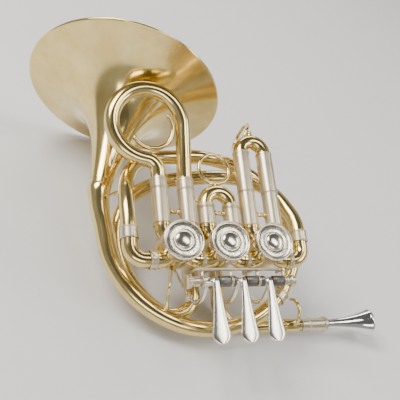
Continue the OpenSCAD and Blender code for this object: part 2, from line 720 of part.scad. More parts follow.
bell_flare();
bell_rim_wire();
bell_tail();
return_loop();
outlet_elbow();
inlet_elbow();
inlet_loop();
leadpipe();
mouthpiece_receiver();
nickel_ferrules();
wrap_braces();
finger_hook();
casing(0);  // valve_1_casing
casing(1);  // valve_2_casing
casing(2);  // valve_3_casing
cap(0);  // valve_1_cap
cap(1);  // valve_2_cap
cap(2);  // valve_3_cap
bearing(0);  // valve_1_bearing
bearing(1);  // valve_2_bearing
bearing(2);  // valve_3_bearing
rotor(0);  // valve_1_rotor
rotor(1);  // valve_2_rotor
rotor(2);  // valve_3_rotor
stop_arm(0);  // valve_1_stop_arm
stop_arm(1);  // valve_2_stop_arm
stop_arm(2);  // valve_3_stop_arm
bumper_corks();
sleeves(0);  // slide_1_sleeves
sleeves(1);  // slide_2_sleeves
sleeves(2);  // slide_3_sleeves
slide_braces();
legs(0);  // slide_1_legs
legs(1);  // slide_2_legs
legs(2);  // slide_3_legs
bow_crook(0);  // slide_1_crook
bow_crook(1);  // slide_2_crook
loop_crook();  // slide_3_crook
slide_1_ring();
slide_2_ring();
slide_3_hook();
tuning_sleeves();
tuning_legs();
tuning_crook();
lever_rack();
lever_axle();
axle_nuts();
lever(0);  // lever_1
lever(1);  // lever_2
lever(2);  // lever_3
lever_spring(0);  // lever_1_spring
lever_spring(1);  // lever_2_spring
lever_spring(2);  // lever_3_spring
link_rod(0);  // link_rod_1
link_rod(1);  // link_rod_2
link_rod(2);  // link_rod_3
mouthpiece();
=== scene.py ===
"""Looks of the compact french horn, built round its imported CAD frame.

Pieces are drawn in the horn's own axes in millimetres, as in part.scad: X along the valve row towards
valve 1, Y the way the valve slides pull, Z along the rotors towards the caps, origin at the middle
valve's ports. LAY takes those axes to the row frame, and it is read from the frame's joints.
"""

import json
from math import atan2, cos, degrees, pi, radians, sin, sqrt, tan

import bpy
from mathutils import Matrix, Vector


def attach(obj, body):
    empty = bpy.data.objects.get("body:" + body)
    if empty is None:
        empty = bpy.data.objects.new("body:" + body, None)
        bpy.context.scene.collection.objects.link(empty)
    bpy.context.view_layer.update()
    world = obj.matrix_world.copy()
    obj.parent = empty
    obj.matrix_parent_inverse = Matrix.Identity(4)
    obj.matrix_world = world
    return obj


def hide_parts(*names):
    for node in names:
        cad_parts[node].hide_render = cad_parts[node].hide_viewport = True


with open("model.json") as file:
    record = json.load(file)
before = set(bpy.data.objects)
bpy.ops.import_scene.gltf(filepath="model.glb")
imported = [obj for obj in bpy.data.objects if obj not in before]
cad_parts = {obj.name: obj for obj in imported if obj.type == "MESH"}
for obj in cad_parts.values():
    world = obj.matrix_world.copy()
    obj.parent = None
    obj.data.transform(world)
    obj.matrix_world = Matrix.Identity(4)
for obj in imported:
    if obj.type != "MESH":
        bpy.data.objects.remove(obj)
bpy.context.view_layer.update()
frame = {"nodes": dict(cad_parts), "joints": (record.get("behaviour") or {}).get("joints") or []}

MM = 0.001
JOINTS = {j["name"]: j for j in frame["joints"]}
HORN = "horn"


def lay_matrix():
    """The horn's axes in the row frame: levers turn about X, slides pull along Y, rotors turn about Z."""
    x = Vector(JOINTS["lever_2_press"]["axis"])
    y = Vector(JOINTS["slide_2_pull"]["axis"])
    z = Vector(JOINTS["rotor_2_turn"]["axis"])
    turn = Matrix((x, y, z)).transposed().to_4x4()
    return Matrix.Translation(Vector(JOINTS["rotor_2_turn"]["pos_m"])) @ turn


LAY = lay_matrix()
UNLAY = LAY.inverted()


def in_horn(joint):
    """Where a joint sits, in horn millimetres."""
    return (UNLAY @ Vector(JOINTS[joint]["pos_m"])) / MM


# ---- Driving dimensions, in millimetres ----

BORE = 5.9
WALL = 0.5
TUBE = BORE + WALL
SLEEVE = 7.1
COLLAR = 7.3

VALVES = [in_horn(f"rotor_{i}_turn").x for i in (1, 2, 3)]
PITCH = VALVES[0] - VALVES[1]
LEG = 11.3
CASING = 15.5
CASING_H = 14.5
CAP = 16.5
CAP_TOP = 17.0
KNUCKLE = 6.6
KNUCKLE_BEND = 12.0
KNUCKLE_END = 18.0

AXLE = in_horn("lever_2_press")
PIVOT = in_horn("link_2_pivot")
AXLE_R = 2.0
HUB_R = 3.4
POSTS = [-24.0, 0.0, 23.5, 47.0]
LEVERS = [32.5, 9.5, -14.0]
CRANKS = [33.41, 5.59, -20.4]
TOUCH_REACH = 41.0
TOUCH_R = 7.4
STEM_R = 2.9
STEM = 3.0  # half of a lever's width at the axle
SPRING_R = 4.3
RACK_Y = -21.5
RACK_Z = 10.5
RACK_BEND = 3.0

SLEEVE_TOP = [49.5, 33.4, 48.5]
LEGS_TOP = [87.5, 36.5, 57.5]
RING_R = 13.6
RING_WIRE = 1.6
LOOP_R = 30.5
LOOP_RISE = radians(10)
RISE_R = 20.0
LOOP_Y = 43.0
LOOP_END = radians(265)
HOOK_R = 18.0
HOOK_WIRE = 1.95
HOOK_START = 38.0
HOOK_END = -145.0

BELL_R = 87.5
BELL_C = Vector((-63.5, 162, -41))
BELL_TURN = radians(15.5)
BELL_DROP = radians(4.5)
BELL_LEN = 100.0
FLARE_SCALE = 40.0
FLARE_POWER = 1.75
BELL_WALL = 0.8

WRAP_C = Vector((0, 30, 0))
WRAP_R = 90.0
WRAP_Z = -34.0
ELBOW_R = 11.0
OUTLET_X = 77.6
INLET_X = 72.4
ELBOW_TOP = 5.0
TUNING_Z = -48.0
TUNING_X = 12.0
TUNING_BASE = -22.0
TUNING_TOP = 8.0
RECEIVER_X = 112.0
LEAD_Y = -58.0
LEAD_Z = -42.0

ROUND = 40  # sides of a tube
SPUN = 192  # sides of the bell


# ---- Mesh building ----


def place(x=0.0, y=0.0, z=0.0, turn=None):
    """A piece's own axes in the horn: where its origin is, and how it is turned."""
    return Matrix.Translation((x, y, z)) @ (turn or Matrix())


TO_X = Matrix.Rotation(radians(90), 4, "Y")
TO_Y = Matrix.Rotation(radians(-90), 4, "X")


def finish_mesh(name, verts, faces, material, body, nodes, at, crease, bevel):
    mesh = bpy.data.meshes.new(name)
    mesh.from_pydata([Vector(v) * MM for v in verts], [], faces)
    mesh.validate()
    mesh.materials.append(material)
    mesh.shade_smooth()
    mesh.set_sharp_from_angle(angle=radians(crease))
    piece = bpy.data.objects.new(name, mesh)
    bpy.context.scene.collection.objects.link(piece)
    at = at or Matrix()
    piece.matrix_world = LAY @ Matrix.Translation(at.translation * MM) @ at.to_3x3().to_4x4()
    if bevel:
        edge = piece.modifiers.new("soft edges", "BEVEL")
        edge.width = bevel * MM
        edge.segments = 2
        edge.limit_method = "ANGLE"
        edge.angle_limit = radians(crease)
        edge.harden_normals = True
    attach(piece, body)
    if nodes:
        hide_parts(*nodes)
    return piece


def make(name, shapes, look, body=HORN, nodes=(), at=None, crease=32, bevel=0.0):
    """One piece from a list of (verts, faces) shapes. look is (material, the record's slot); the slot is not
    used.
    """
    verts, faces = [], []
    for v, f in shapes:
        base = len(verts)
        verts.extend(v)
        faces.extend([tuple(i + base for i in face) for face in f])
    return finish_mesh(name, verts, faces, look[0], body, nodes, at, crease, bevel)


def moved(shape, matrix):
    verts, faces = shape
    flip = matrix.determinant() < 0
    return [matrix @ Vector(v) for v in verts], [tuple(reversed(f)) for f in faces] if flip else faces


def loft(loops, closed=False):
    """A skin over loops of points, with flat ends unless the loops come round to the first."""
    n, sides = len(loops), len(loops[0])
    verts = [p for loop in loops for p in loop]
    faces = []
    for i in range(n if closed else n - 1):
        a, b = i * sides, ((i + 1) % n) * sides
        for k in range(sides):
            j = (k + 1) % sides
            faces.append((a + k, a + j, b + j, b + k))
    if not closed:
        faces.append(tuple(reversed(range(sides))))
        faces.append(tuple(range((n - 1) * sides, n * sides)))
    return verts, faces


def lathe(profile, sides=64, closed=False):
    """A profile of (radius, z) turned about Z. A radius of 0 at an end closes it with a fan."""
    verts, rows = [], []
    for r, z in profile:
        if r < 1e-6:
            rows.append([len(verts)] * sides)
            verts.append(Vector((0, 0, z)))
        else:
            rows.append(list(range(len(verts), len(verts) + sides)))
            turns = (2 * pi * k / sides for k in range(sides))
            verts.extend(Vector((r * cos(a), r * sin(a), z)) for a in turns)
    faces = []
    for i in range(len(rows) if closed else len(rows) - 1):
        a, b = rows[i], rows[(i + 1) % len(rows)]
        for k in range(sides):
            j = (k + 1) % sides
            face = []
            for v in (a[k], a[j], b[j], b[k]):
                if v not in face:
                    face.append(v)
            if len(face) > 2:
                faces.append(tuple(face))
    return verts, faces


def arc(centre, radius, start, end, steps):
    """Points (x, y) on an arc, angles in degrees."""
    return [
        (centre[0] + radius * cos(radians(a)), centre[1] + radius * sin(radians(a)))
        for a in (start + (end - start) * i / steps for i in range(steps + 1))
    ]


def blend(a, b, c, d, t):
    """A point between b and c on the smooth curve through a, b, c and d."""
    square = 2 * a - 5 * b + 4 * c - d
    cube = 3 * b - a - 3 * c + d
    return 0.5 * ((2 * b) + (c - a) * t + square * t * t + cube * t**3)


def smooth(keys, steps):
    """The CAD's smooth curve through keys (x, y, z, radius)."""
    p = [Vector(k) for k in keys]
    p = [2 * p[0] - p[1]] + p + [2 * p[-1] - p[-2]]
    out = [blend(*p[i : i + 4], j / steps) for i in range(len(p) - 3) for j in range(steps)]
    return out + [p[-2]]


def frames(path):
    """A tangent and two square-on directions at each point, turning as little as they can."""
    n = len(path)
    tangents = [(path[min(i + 1, n - 1)] - path[max(i - 1, 0)]).normalized() for i in range(n)]
    side = tangents[0].orthogonal().normalized()
    out = []
    for t in tangents:
        side = (side - t * side.dot(t)).normalized()
        out.append((t, side, t.cross(side)))
    return out


def sweep(path, radii, sides=ROUND):
    """A round tube along a path. radii is one number or one for each point."""
    path = [Vector(p[:3]) for p in path]
    radii = radii if isinstance(radii, list) else [radii] * len(path)
    loops = []
    for p, r, (_, u, v) in zip(path, radii, frames(path)):
        loops.append([p + r * (cos(a) * u + sin(a) * v) for a in (2 * pi * k / sides for k in range(sides))])
    return loft(loops)


def keyed_tube(keys, steps=10):
    """A tube through keys (x, y, z, radius)."""
    q = smooth(keys, steps)
    return sweep([p[:3] for p in q], [p[3] for p in q])


def rod(a, b, profile, sides=24):
    """A turned rod from a to b. profile is (radius, share of the length)."""
    a, b = Vector(a), Vector(b)
    way = (b - a).normalized()
    turn = way.to_track_quat("Z", "Y").to_matrix().to_4x4()
    return moved(lathe([(r, s * (b - a).length) for r, s in profile], sides), Matrix.Translation(a) @ turn)


def torus(radius, wire, sides=96, wire_sides=20):
    turns = (2 * pi * k / wire_sides for k in range(wire_sides))
    return lathe([(radius + wire * cos(a), wire * sin(a)) for a in turns], sides, True)


def flat_arc(centre, radius, start, end, z=0.0, step=4.0):
    """Points on an arc in the valve plane, angles in degrees."""
    steps = max(2, round(abs(end - start) / step))
    return [Vector((x, y, z)) for x, y in arc(centre, radius, start, end, steps)]


def beads(r, length, bead=0.5, at=()):
    """Outline of a tube's outside with half-round beads at the heights given."""
    out = [(r - 0.25, 0.0), (r, 0.25)]
    for z in at:
        half = [radians(a) for a in range(20, 180, 20)]
        out += [(r, z - bead)] + [(r + bead * sin(a), z - bead * cos(a)) for a in half]
        out += [(r, z + bead)]
    return out + [(r, length - 0.25), (r - 0.25, length)]


def hollow(outline, inner):
    """Closes an outside outline with a bore of radius inner."""
    return outline + [(inner, outline[-1][1]), (inner, outline[0][1])]


# ---- Materials ----


class Nodes:
    """Short names for building one node material."""

    def __init__(self, name):
        self.material = bpy.data.materials.new(name)
        self.material.use_nodes = True
        self.tree = self.material.node_tree
        self.shader = self.tree.nodes["Principled BSDF"]
        self.coords = self.tree.nodes.new("ShaderNodeTexCoord").outputs["Object"]

    def add(self, kind, inputs=None, **settings):
        node = self.tree.nodes.new(kind)
        for key, value in settings.items():
            setattr(node, key, value)
        for key, value in (inputs or {}).items():
            if isinstance(value, bpy.types.NodeSocket):
                self.tree.links.new(value, node.inputs[key])
            else:
                node.inputs[key].default_value = value
        return node

    def noise(self, scale, detail=4.0, rough=0.55, stretch=(1, 1, 1), warp=0.0):
        spread = self.add("ShaderNodeMapping", {"Vector": self.coords, "Scale": stretch})
        inputs = {"Vector": spread.outputs[0], "Scale": scale, "Detail": detail}
        inputs.update({"Roughness": rough, "Distortion": warp})
        return self.add("ShaderNodeTexNoise", inputs).outputs["Fac"]

    def ramp(self, fac, stops):
        node = self.add("ShaderNodeValToRGB", {"Fac": fac})
        ramp = node.color_ramp
        while len(ramp.elements) < len(stops):
            ramp.elements.new(0.5)
        for element, (at, value) in zip(ramp.elements, stops):
            element.position = at
            element.color = (*value, 1) if isinstance(value, tuple) else (value, value, value, 1)
        return node.outputs["Color"]

    def math(self, operation, a, b=0.0, c=0.0):
        return self.add("ShaderNodeMath", {0: a, 1: b, 2: c}, operation=operation).outputs[0]

    def mix(self, fac, a, b):
        node = self.add("ShaderNodeMix", data_type="RGBA")
        for key, value in ((0, fac), (6, a), (7, b)):
            if isinstance(value, bpy.types.NodeSocket):
                self.tree.links.new(value, node.inputs[key])
            else:
                node.inputs[key].default_value = (*value, 1) if isinstance(value, tuple) else value
        return node.outputs[2]

    def set(self, **values):
        for key, value in values.items():
            key = key.replace("_", " ")
            if isinstance(value, bpy.types.NodeSocket):
                self.tree.links.new(value, self.shader.inputs[key])
            else:
                self.shader.inputs[key].default_value = (*value, 1) if isinstance(value, tuple) else value

    def bump(self, height, strength, distance, under=None):
        inputs = {"Height": height, "Strength": strength, "Distance": distance}
        if under is not None:
            inputs["Normal"] = under
        return self.add("ShaderNodeBump", inputs).outputs["Normal"]


def polished_metal(name, bright, deep, roughness, coat=0.0, grain=(1, 1, 1), wear=0.5, dents=0.03):
    """Hand-polished metal: slow colour drift, smears in the gloss, fine scratches and tarnish in patches."""
    m = Nodes(name)
    drift = m.noise(38, 3, 0.5)
    tarnish = m.ramp(m.noise(150, 6, 0.65, warp=0.4), [(0.46, 0.0), (0.72, 1.0)])
    colour = m.mix(m.ramp(drift, [(0.3, 0.0), (0.7, 1.0)]), bright, deep)
    dull = tuple(c * 0.62 for c in deep)
    colour = m.mix(m.math("MULTIPLY", tarnish, 0.35 * wear), colour, dull)
    smears = m.noise(90, 5, 0.6, stretch=grain)
    gloss = m.math("MULTIPLY_ADD", smears, roughness * 0.5, roughness * 0.75)
    gloss = m.math("MULTIPLY_ADD", tarnish, 0.10 * wear, gloss)
    scratches = m.noise(2600, 2, 0.5, stretch=(grain[0] * 0.08, grain[1], grain[2]))
    normal = m.bump(scratches, 0.03, 0.00002, m.bump(m.noise(55, 2, 0.4), dents, 0.0006))
    m.set(Base_Color=colour, Metallic=1.0, Roughness=gloss, Normal=normal)
    if coat:
        m.set(Coat_Weight=coat, Coat_Roughness=0.08, Coat_Tint=(1.0, 0.97, 0.86))
    return m


BRASS_BRIGHT, BRASS_DEEP = (0.86, 0.70, 0.32), (0.73, 0.55, 0.21)
NICKEL_BRIGHT, NICKEL_DEEP = (0.75, 0.66, 0.48), (0.64, 0.55, 0.39)


def spun_brass():
    """Lacquered brass of the bell, with the fine rings left by spinning."""
    m = polished_metal("lacquered_brass_spun", BRASS_BRIGHT, BRASS_DEEP, 0.15, 0.5)
    where = m.add("ShaderNodeSeparateXYZ", {"Vector": m.coords})
    rings = m.math("SINE", m.math("MULTIPLY", where.outputs["Z"], 5200.0))
    under = m.shader.inputs["Normal"].links[0].from_socket
    m.set(Normal=m.bump(rings, 0.03, 0.00003, under))
    return m


def engraved_nickel():
    """Nickel of the caps: bright cut scrolls and leaves in a band round the dome, the cuts darker and
    rougher, and painted shade that darkens the hollows.
    """
    bright, deep = (0.84, 0.78, 0.64), (0.76, 0.69, 0.54)
    m = polished_metal("nickel_silver_engraved", bright, deep, 0.17, wear=0.1, dents=0.0)
    where = m.add("ShaderNodeSeparateXYZ", {"Vector": m.coords})
    x, y = where.outputs["X"], where.outputs["Y"]
    r = m.math("SQRT", m.math("MULTIPLY_ADD", x, x, m.math("MULTIPLY", y, y)))
    angle = m.math("ARCTAN2", y, x)
    band = m.ramp(m.math("MULTIPLY", r, 1000 / CAP), [(0.51, 0.0), (0.53, 1.0), (0.79, 1.0), (0.81, 0.0)])
    wave = m.math("MULTIPLY", m.math("SINE", m.math("MULTIPLY", angle, 7.0)), 0.0012)
    across = m.math("DIVIDE", m.math("SUBTRACT", m.math("SUBTRACT", r, 0.0108), wave), 0.0022)
    reach = m.math("ABSOLUTE", across)
    stem = m.math("LESS_THAN", reach, 0.07)
    lean = m.math("MULTIPLY_ADD", reach, -2.2, m.math("MULTIPLY", angle, 14.0))
    width = m.math("MULTIPLY_ADD", reach, -0.20, 0.22)
    leaf = m.math("LESS_THAN", m.math("ABSOLUTE", m.math("SINE", lean)), width)
    curls = m.math("LESS_THAN", m.math("ABSOLUTE", m.math("SUBTRACT", m.noise(520, 1.5, 0.4), 0.5)), 0.025)
    cut = m.math("MAXIMUM", m.math("MAXIMUM", stem, leaf), curls)
    cut = m.math("MULTIPLY", cut, band)
    colour = m.shader.inputs["Base Color"].links[0].from_socket
    gloss = m.shader.inputs["Roughness"].links[0].from_socket
    under = m.shader.inputs["Normal"].links[0].from_socket
    # Painted shade: ambient occlusion darkens the colour to a dark brown in the hollows.
    hollow_parts = m.add("ShaderNodeAmbientOcclusion", {"Distance": 0.0009}, samples=8).outputs["AO"]
    painted_hollow_shade = m.mix(m.ramp(hollow_parts, [(0.30, 0.0), (0.75, 1.0)]), (0.14, 0.11, 0.08), colour)
    m.set(Base_Color=m.mix(m.math("MULTIPLY", cut, 0.85), painted_hollow_shade, (0.16, 0.13, 0.09)))
    m.set(Roughness=m.math("MULTIPLY_ADD", cut, 0.35, gloss))
    m.set(Normal=m.bump(m.math("SUBTRACT", 1.0, cut), 0.35, 0.00005, under))
    return m


def cork_material():
    m = Nodes("pressed_cork")
    cells = m.add("ShaderNodeTexVoronoi", {"Vector": m.coords, "Scale": 1400.0})
    tone = m.mix(m.noise(700, 5), (0.42, 0.25, 0.12), (0.62, 0.43, 0.25))
    m.set(Base_Color=tone, Roughness=0.9, Normal=m.bump(cells.outputs["Distance"], 0.6, 0.0003))
    return m


def brass():
    return polished_metal("lacquered_brass_tube", BRASS_BRIGHT, BRASS_DEEP, 0.15, 0.5)


def nickel():
    return polished_metal("nickel_silver_tube", NICKEL_BRIGHT, NICKEL_DEEP, 0.32, wear=0.15, dents=0.008)


def lever_nickel():
    return polished_metal("nickel_silver_lever", (0.92, 0.87, 0.75), (0.85, 0.79, 0.66), 0.20, wear=0.15)


def machined_steel():
    bright, deep = (0.62, 0.61, 0.60), (0.48, 0.47, 0.46)
    return polished_metal("machined_steel", bright, deep, 0.30, grain=(1, 1, 12), wear=0.4)


def spring_steel():
    return polished_metal("blued_spring_wire", (0.25, 0.235, 0.21), (0.15, 0.14, 0.125), 0.30, wear=0.2)


def silver():
    return polished_metal("silver_plate", (0.91, 0.90, 0.88), (0.84, 0.82, 0.79), 0.10, wear=0.3)


# Each look is a material and the name of the record's slot that it belongs to.
BRASS = (brass().material, "lacquered_brass")
BELL_BRASS = (spun_brass().material, "lacquered_brass")
NICKEL = (nickel().material, "nickel_silver")
LEVER_NICKEL = (lever_nickel().material, "nickel_silver")
CAP_NICKEL = (engraved_nickel().material, "nickel_silver")
STEEL = (machined_steel().material, "steel")
CORK = (cork_material().material, "cork")
SPRING = (spring_steel().material, "dark_spring_steel")
SILVER = (silver().material, "silver_plate")


# ---- Bell and wrap ----


def flare_r(s):
    """Radius of the bell at a distance s behind its rim."""
    return BELL_R * (FLARE_SCALE / (s + FLARE_SCALE)) ** FLARE_POWER


BELL_WAY = Matrix.Rotation(-BELL_TURN, 4, "Z") @ Matrix.Rotation(-pi / 2 - BELL_DROP, 4, "X")
BELL_AT = Matrix.Translation(BELL_C) @ BELL_WAY


def build_bell():
    """The spun flare, with rings closer together towards the rim, and the wire its rim is rolled round."""
    steps = [BELL_LEN * (i / 60) ** 1.6 for i in range(61)]
    outline = [(flare_r(s), -s) for s in steps]
    inside = [(flare_r(s) - BELL_WALL, -s) for s in reversed(steps)]
    flare = lathe(outline + inside, SPUN, True)
    make("bell_flare_spun", [flare], BELL_BRASS, nodes=["bell_flare"], at=BELL_AT)
    wire = moved(torus(BELL_R - 0.6, 1.5, SPUN, 20), Matrix.Translation((0, 0, 1.5)))
    make("bell_rim_roll", [wire], BRASS, nodes=["bell_rim_wire"], at=BELL_AT)


def turn(angle, radius, z, tube):
    """A key (x, y, z, tube radius) on a turn of the wrap, its angle in degrees."""
    a = radians(angle)
    return (WRAP_C.x + radius * cos(a), WRAP_C.y + radius * sin(a), z, tube)


def build_wrap():
    """The tail and the return loop, the inlet loop, the leadpipe and the two elbows by the outer valves."""
    tail = []
    for back, r in ((0.1, 0), (4, 0.1), (9, 0.2)):
        tail.append((*(BELL_AT @ Vector((0, 0, -BELL_LEN - back))), flare_r(BELL_LEN) - r))
    throat = BELL_AT @ Vector((0, 0, -BELL_LEN))
    tail.append((throat.x - 2.3, throat.y - 21, WRAP_Z + 0.6, 8.5))
    taper = [(180, 8), (202, 7.7), (225, 7.4), (248, 7.1), (270, 6.8), (292, 6.6), (309, 6.45), (315, TUBE)]
    tail += [turn(a, WRAP_R, WRAP_Z, r) for a, r in taper]
    make("bell_tail_tube", [keyed_tube(tail)], BRASS, nodes=["bell_tail"])

    spiral = [(316.4, 90), (321, 90), (337, 90), (357, 87), (378, 81), (400, 75), (422, 70)]
    spiral += [(446, 67.5), (468, 69)]
    back = [turn(a, r, WRAP_Z, TUBE) for a, r in spiral]
    back += [(-48, 90, -30, TUBE), (-66, 75, -20, TUBE), (-75, 56, -9, TUBE), (-OUTLET_X, 36, -2, TUBE)]
    back += [(-OUTLET_X, 20, 0, TUBE), (-OUTLET_X, ELBOW_TOP, 0, TUBE)]
    make("return_loop_tube", [keyed_tube(back)], BRASS, nodes=["return_loop"])

    inlet = [(INLET_X, ELBOW_TOP, 0), (INLET_X, 15, 0), (INLET_X, 25, -2), (INLET_X - 2, 36, -6)]
    inlet += [(63, 55, -14), (49, 69, -22), (26, 76, -29)]
    inlet += [(-4, 76, -34), (-34, 72, -38), (-60, 60, -42), (-74, 38, -44), (-76, 14, -46), (-69, -10, -47)]
    inlet += [(-54, -31, TUNING_Z), (-36, -44, TUNING_Z), (-20, -42, TUNING_Z), (-TUNING_X, -32, TUNING_Z)]
    inlet += [(-TUNING_X, TUNING_BASE, TUNING_Z)]
    make("inlet_loop_tube", [keyed_tube([(*p, TUBE) for p in inlet])], BRASS, nodes=["inlet_loop"])

    lead = [(RECEIVER_X - 26, LEAD_Y, LEAD_Z, 4.8), (76, LEAD_Y, LEAD_Z, 4.9), (66, LEAD_Y, LEAD_Z, 5)]
    lead += [(50, LEAD_Y, LEAD_Z - 3, 5.3), (32, LEAD_Y + 1, TUNING_Z, 5.6), (18, LEAD_Y + 8, TUNING_Z, 5.9)]
    lead += [(TUNING_X, -38, TUNING_Z, 6.2), (TUNING_X, TUNING_BASE, TUNING_Z, TUBE)]
    make("leadpipe_tube", [keyed_tube(lead)], BRASS, nodes=["leadpipe"])

    start = PITCH + KNUCKLE_END + 0.1
    for side, x, name in ((-1, OUTLET_X, "outlet_elbow"), (1, INLET_X, "inlet_elbow")):
        path = [Vector((side * start, -LEG, 0))]
        bend = flat_arc((x - ELBOW_R, ELBOW_R - LEG), ELBOW_R, -90, 0, step=5)
        path += [Vector((side * p.x, p.y, 0)) for p in bend] + [Vector((side * x, ELBOW_TOP - 0.1, 0))]
        make(name + "_tube", [sweep(path, TUBE)], BRASS, nodes=[name])


def ferrule(length, inner, r=SLEEVE + 0.2):
    return lathe(hollow(beads(r, length, 0.6, (0.8, length - 0.8)), inner))


def build_ferrules():
    """Rings over the joints of the tubes, and the receiver at the leadpipe's end."""
    wide = TUBE + 0.2
    gap = PITCH - 2 * KNUCKLE_END - 0.1
    spots = [place(x + KNUCKLE_END + 0.05, -LEG, 0, TO_X) for x in (-PITCH, 0)]
    shapes = [moved(ferrule(gap, BORE), at) for at in spots]
    shapes.append(moved(ferrule(4, TUBE), place(PITCH + KNUCKLE_END + 0.1, -LEG, 0, TO_X)))
    shapes.append(moved(ferrule(6, TUBE), place(-PITCH - KNUCKLE_END - 6.1, -LEG, 0, TO_X)))
    for x in (-OUTLET_X, INLET_X):
        shapes.append(moved(ferrule(10, wide), place(x, ELBOW_TOP, 0, TO_Y)))
    joint = Vector(turn(315, WRAP_R, WRAP_Z, 0)[:3])
    along = Matrix.Rotation(radians(45), 4, "Z") @ TO_X
    at = Matrix.Translation(joint) @ along @ Matrix.Translation((0, 0, -4))
    shapes.append(moved(ferrule(9, TUBE + 0.55), at))
    make("nickel_ferrule_rings", shapes, NICKEL, nodes=["nickel_ferrules"])

    start = RECEIVER_X - 25.5
    outline = [(5.1, 0), (5.4, 0.3), (5.55, 7), (6.0, 7.6), (6.0, 8.6), (5.6, 9.2), (5.95, 22)]
    outline += [(6.3, 22.3), (6.9, 22.8), (6.9, 25), (6.4, 25.5), (4.35, 25.5), (3.9, 7), (4.0, 0)]
    tube, at = lathe(outline, 64, True), place(start, LEAD_Y, LEAD_Z, TO_X)
    make("mouthpiece_receiver_tube", [tube], NICKEL, nodes=["mouthpiece_receiver"], at=at)


# A brace's outline: its radius, and the share of its length. It flares at both ends and has a collar.
BRACE = [(0, 0), (1.75, 0), (1.75, 0.06), (1.35, 0.14), (1.2, 0.3), (1.2, 0.44), (1.7, 0.47)]
BRACE += [(1.7, 0.53), (1.2, 0.56), (1.2, 0.7), (1.35, 0.86), (1.75, 0.94), (1.75, 1), (0, 1)]


def build_braces():
    ends = [
        ((-42, -16, -9.4), (-43, -44.2, -27.3)),
        ((-87.8, 50, -24.8), (-77.3, 52, -14.3)),
        ((-8, 82.2, WRAP_Z), (-8, 90.8, WRAP_Z)),
        ((54.5, 74.9, -29.6), (52, 72.2, -26.3)),
        ((69.8, -16.8, -30), (65.9, -9.7, -6.7)),
        ((-82.8, 13.1, -40.1), (-80.6, 13.3, -42.1)),
    ]
    make("wrap_brace_rods", [rod(a, b, BRACE) for a, b in ends], BRASS, nodes=["wrap_braces"])


# ---- Valves ----


def knuckle_shapes():
    """The four cast elbows of a casing, with their collars."""
    c = KNUCKLE_BEND
    turn_in = c * tan(radians(22.5))
    shapes = []
    for side in (1, -1):
        flip = Matrix.Diagonal((side, 1, 1, 1))
        rising = [radians(-45 + 5 * i) for i in range(10)]
        level = [radians(-135 + 5 * i) for i in range(10)]
        up = [Vector((LEG - c + c * cos(a), LEG + turn_in + c * sin(a), 0)) for a in rising]
        out = [Vector((LEG + turn_in + c * cos(a), c - LEG + c * sin(a), 0)) for a in level]
        for path in (up, out):
            shapes.append(moved(sweep(path, KNUCKLE), flip))
        collar = lathe(hollow(beads(COLLAR, 2.4), BORE))
        shapes.append(moved(collar, flip @ place(LEG, KNUCKLE_END - 2.4, 0, TO_Y)))
        shapes.append(moved(collar, flip @ place(KNUCKLE_END - 2.4, -LEG, 0, TO_X)))
    return shapes


def build_casing(i):
    h = CASING_H
    body = [(0, -h - 2.5), (4.6, -h - 2.5), (5, -h - 2.1), (5, -h), (CASING - 0.6, -h), (CASING, -h + 0.6)]
    body += [(CASING, -h + 2.6), (CASING - 0.25, -h + 2.9), (CASING - 0.25, 8.2), (CASING, 8.5)]
    body += [(CASING, h), (13.6, h), (13.6, h - 3), (0, h - 3)]
    shapes = [lathe(body, 96)] + knuckle_shapes()
    nodes = [f"valve_{i + 1}_casing"]
    make(f"valve_{i + 1}_casing_body", shapes, BRASS, nodes=nodes, at=place(VALVES[i]))


def build_cap(i):
    """A valve cap: a beaded rim, a fine groove, a flat engraved face and a polished dome."""
    top, r = CAP_TOP, CAP
    dome = 7.2
    outer = [(CASING + 0.05, 9), (r - 0.5, 9), (r - 0.2, 9.3)]
    outer += [(r - 0.2, 10.4), (r - 0.5, 10.7), (r - 0.5, 11.2), (r - 0.2, 11.5), (r - 0.2, top - 1)]
    outer += arc((r - 0.85, top - 0.3), 0.75, -30, 150, 12)
    outer += [(r - 1.65, top - 0.5), (r - 2.0, top - 0.55), (r - 2.15, top - 0.2), (r - 2.4, top - 0.05)]
    outer += [(dome + 1.15, top - 0.05), (dome + 0.9, top - 0.15), (dome + 0.75, top - 0.5)]
    outer += [(dome + 0.35, top - 0.5), (dome + 0.15, top - 0.1)]
    rounds = [radians(a) for a in range(4, 90, 4)]
    outer += [(dome * cos(a), top + 0.1 + 2 * sin(a)) for a in rounds] + [(0, top + 2.1)]
    nodes, at = [f"valve_{i + 1}_cap"], place(VALVES[i])
    make(f"valve_{i + 1}_cap_turned", [lathe(outer, 160)], CAP_NICKEL, nodes=nodes, at=at, crease=40)


def build_corks():
    """Two cork bumpers for each valve, where its stop arm comes to rest."""
    sides = [-1, 1, 1]
    top, bottom = -CASING_H - 0.02, -22.3
    shapes = []
    for i, x in enumerate(VALVES):
        lug = 135 if sides[i] > 0 else 45
        for a in (lug - sides[i] * 30, lug + sides[i] * 120):
            spot = place(x + 8.5 * cos(radians(a)), 8.5 * sin(radians(a)), bottom)
            h = top - bottom
            cork = [(0, 0), (1.6, 0), (1.95, 0.4), (2.0, h * 0.5), (1.95, h - 0.3), (1.8, h), (0, h)]
            shapes.append(moved(lathe(cork, 32), spot))
    make("cork_bumpers", shapes, CORK, nodes=["bumper_corks"])


# ---- Valve slides ----


def build_sleeves(i):
    base = KNUCKLE_END + 0.1
    length = SLEEVE_TOP[i] - base
    tube = lathe(hollow(beads(SLEEVE, length, 0.5, (0.8, length - 0.8)), TUBE + 0.05))
    shapes = [moved(tube, place(VALVES[i] + side * LEG, base, 0, TO_Y)) for side in (-1, 1)]
    make(f"slide_{i + 1}_sleeve_tubes", shapes, NICKEL, nodes=[f"slide_{i + 1}_sleeves"])


